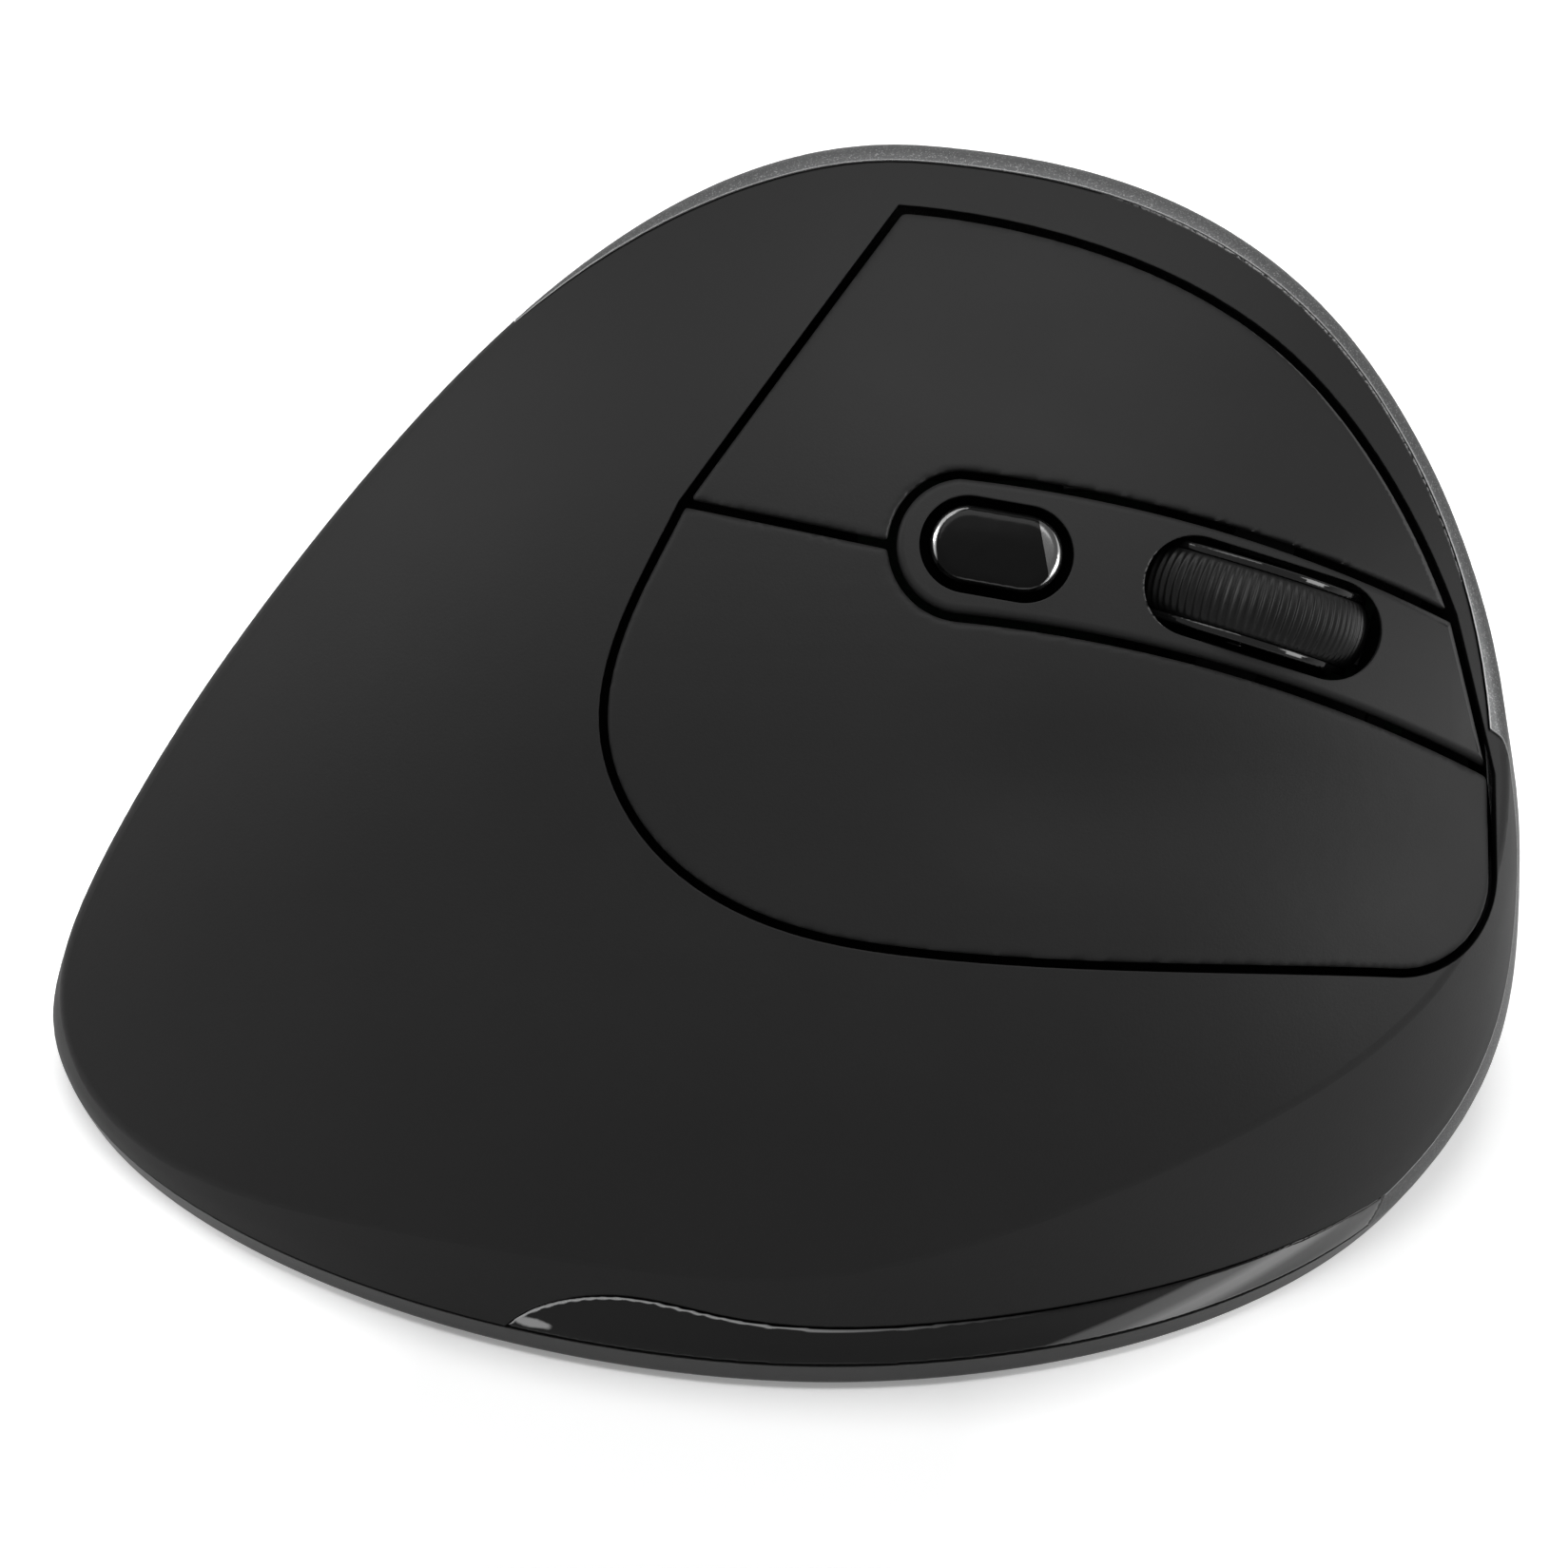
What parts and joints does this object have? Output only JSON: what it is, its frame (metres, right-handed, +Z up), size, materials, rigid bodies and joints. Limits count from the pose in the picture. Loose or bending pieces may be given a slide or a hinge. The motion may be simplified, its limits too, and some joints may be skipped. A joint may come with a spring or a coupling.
{
  "type": "ergonomic vertical mouse",
  "caption": "Wireless vertical mouse for the right hand: a leaning finger face with two click buttons, a ribbed wheel and a small centre button, two thumb buttons, black and grey shells.",
  "frame": {"origin": "on the desk, under the middle of the mouse's body", "axes": "+X forward to the nose, +Y to the thumb side, +Z up; the finger face leans 45 degrees towards -Y"},
  "size_m": [0.1211, 0.079, 0.0703],
  "materials": {
    "palm_coating": "black rubber-like soft-touch coat, matte",
    "bridge_plastic": "black, fine satin",
    "grey_paint": "satin dark-grey metallic paint",
    "gloss_black": "high-gloss black",
    "base_plastic": "dark grey, lightly textured",
    "tyre_rubber": "black ribbed rubber",
    "frame_plastic": "plain black moulding",
    "steel": "plain bright",
    "circuit_board": "dark green lacquer",
    "chip_black": "black",
    "switch_white": "off-white",
    "clear_lens": "clear moulding",
    "battery_wrap": "satin wrapped cell",
    "receiver_metal": "plain pressed shell",
    "foot_film": "smooth dark glide film",
    "ribbon_film": "pale flexible film"
  },
  "bodies": {
    "chassis": {"palm_shell": "palm_coating", "centre_bridge": "bridge_plastic", "thumb_shell": "grey_paint", "gloss_strip": "gloss_black", "wheel_encoder": "switch_white", "inner_frame": "frame_plastic", "button_pivot_pins": "steel", "button_board": "circuit_board", "side_board": "circuit_board", "main_board": "circuit_board", "button_board_screws": "steel", "main_board_screws": "steel", "base_screws": "steel", "base_plate": "base_plastic", "sensor_lens": "clear_lens", "optical_sensor": "chip_black", "controller_chip": "chip_black", "power_switch_housing": "frame_plastic", "battery": "battery_wrap", "battery_spring": "steel", "battery_contact": "steel", "ribbon_cable": "ribbon_film", "ribbon_sockets": "switch_white", "index_switch": "chip_black", "middle_switch": "chip_black", "wheel_switch": "chip_black", "resolution_switch": "chip_black", "back_switch": "chip_black", "forward_switch": "chip_black", "foot_rear": "foot_film", "foot_front": "foot_film", "foot_right": "foot_film", "foot_left": "foot_film", "foot_sensor": "foot_film"},
    "index_key": {"index_button": "palm_coating"},
    "middle_key": {"middle_button": "palm_coating"},
    "wheel_carrier": {"wheel_yoke": "frame_plastic"},
    "wheel": {"wheel_hub": "gloss_black", "wheel_tyre": "tyre_rubber"},
    "resolution_key": {"resolution_button": "gloss_black"},
    "forward_key": {"forward_button": "gloss_black"},
    "back_key": {"back_button": "gloss_black"},
    "power_knob": {"power_switch_knob": "chip_black"},
    "cover": {"battery_cover": "base_plastic"},
    "receiver": {"receiver_cap": "gloss_black", "receiver_plug": "receiver_metal"},
    "index_plunger": {"index_switch_plunger": "switch_white"},
    "middle_plunger": {"middle_switch_plunger": "switch_white"},
    "wheel_plunger": {"wheel_switch_plunger": "switch_white"},
    "resolution_plunger": {"resolution_switch_plunger": "switch_white"},
    "back_plunger": {"back_switch_plunger": "switch_white"},
    "forward_plunger": {"forward_switch_plunger": "switch_white"}
  },
  "joints": [
    {"name": "index_click", "type": "hinge", "parent": "chassis", "child": "index_key", "pos_m": [0.002, 0.00488, 0.0565], "axis": [0, 0.7071, 0.7071], "range_deg": [0, 0.8], "stiffness_Nm_per_rad": 1.7},
    {"name": "middle_click", "type": "hinge", "parent": "chassis", "child": "middle_key", "pos_m": [-0.006, -0.00884, 0.04278], "axis": [0, 0.7071, 0.7071], "range_deg": [0, 0.8], "stiffness_Nm_per_rad": 1.7},
    {"name": "wheel_press", "type": "slide", "parent": "chassis", "child": "wheel_carrier", "axis": [0, 0.7071, -0.7071], "range_m": [0, 0.0004], "stiffness_N_per_m": 2000},
    {"name": "wheel_spin", "type": "hinge", "parent": "wheel_carrier", "child": "wheel", "pos_m": [0.0368, -0.0009, 0.0487], "axis": [0.2924, 0.6762, 0.6762], "continuous": true},
    {"name": "resolution_press", "type": "slide", "parent": "chassis", "child": "resolution_key", "axis": [0, 0.7071, -0.7071], "range_m": [0, 0.0004], "stiffness_N_per_m": 2000},
    {"name": "forward_press", "type": "slide", "parent": "chassis", "child": "forward_key", "axis": [0, -1, 0], "range_m": [0, 0.0006], "stiffness_N_per_m": 1500},
    {"name": "back_press", "type": "slide", "parent": "chassis", "child": "back_key", "axis": [0, -1, 0], "range_m": [0, 0.0006], "stiffness_N_per_m": 1500},
    {"name": "power_slide", "type": "slide", "parent": "chassis", "child": "power_knob", "axis": [1, 0, 0], "range_m": [0, 0.003]},
    {"name": "cover_slide", "type": "slide", "parent": "chassis", "child": "cover", "axis": [1, 0, 0], "range_m": [0, 0.005]},
    {"name": "receiver_slide", "type": "slide", "parent": "chassis", "child": "receiver", "axis": [0, 0, -1], "range_m": [0, 0.019]},
    {"name": "index_switch_stroke", "type": "slide", "parent": "chassis", "child": "index_plunger", "axis": [0, 0.7071, -0.7071], "range_m": [0, 0.00041]},
    {"name": "middle_switch_stroke", "type": "slide", "parent": "chassis", "child": "middle_plunger", "axis": [0, 0.7071, -0.7071], "range_m": [0, 0.00065]},
    {"name": "wheel_switch_stroke", "type": "slide", "parent": "chassis", "child": "wheel_plunger", "axis": [0, 0.7071, -0.7071], "range_m": [0, 0.0004]},
    {"name": "resolution_switch_stroke", "type": "slide", "parent": "chassis", "child": "resolution_plunger", "axis": [0, 0.7071, -0.7071], "range_m": [0, 0.0004]},
    {"name": "forward_switch_stroke", "type": "slide", "parent": "chassis", "child": "forward_plunger", "axis": [0, -1, 0], "range_m": [0, 0.0006]},
    {"name": "back_switch_stroke", "type": "slide", "parent": "chassis", "child": "back_plunger", "axis": [0, -1, 0], "range_m": [0, 0.0006]}
  ],
  "couplings": [
    {"joint": "index_switch_stroke", "follows": "index_click", "m_per_rad": 0.029},
    {"joint": "middle_switch_stroke", "follows": "middle_click", "m_per_rad": 0.046},
    {"joint": "wheel_switch_stroke", "follows": "wheel_press", "ratio": 1},
    {"joint": "resolution_switch_stroke", "follows": "resolution_press", "ratio": 1},
    {"joint": "forward_switch_stroke", "follows": "forward_press", "ratio": 1},
    {"joint": "back_switch_stroke", "follows": "back_press", "ratio": 1}
  ]
}
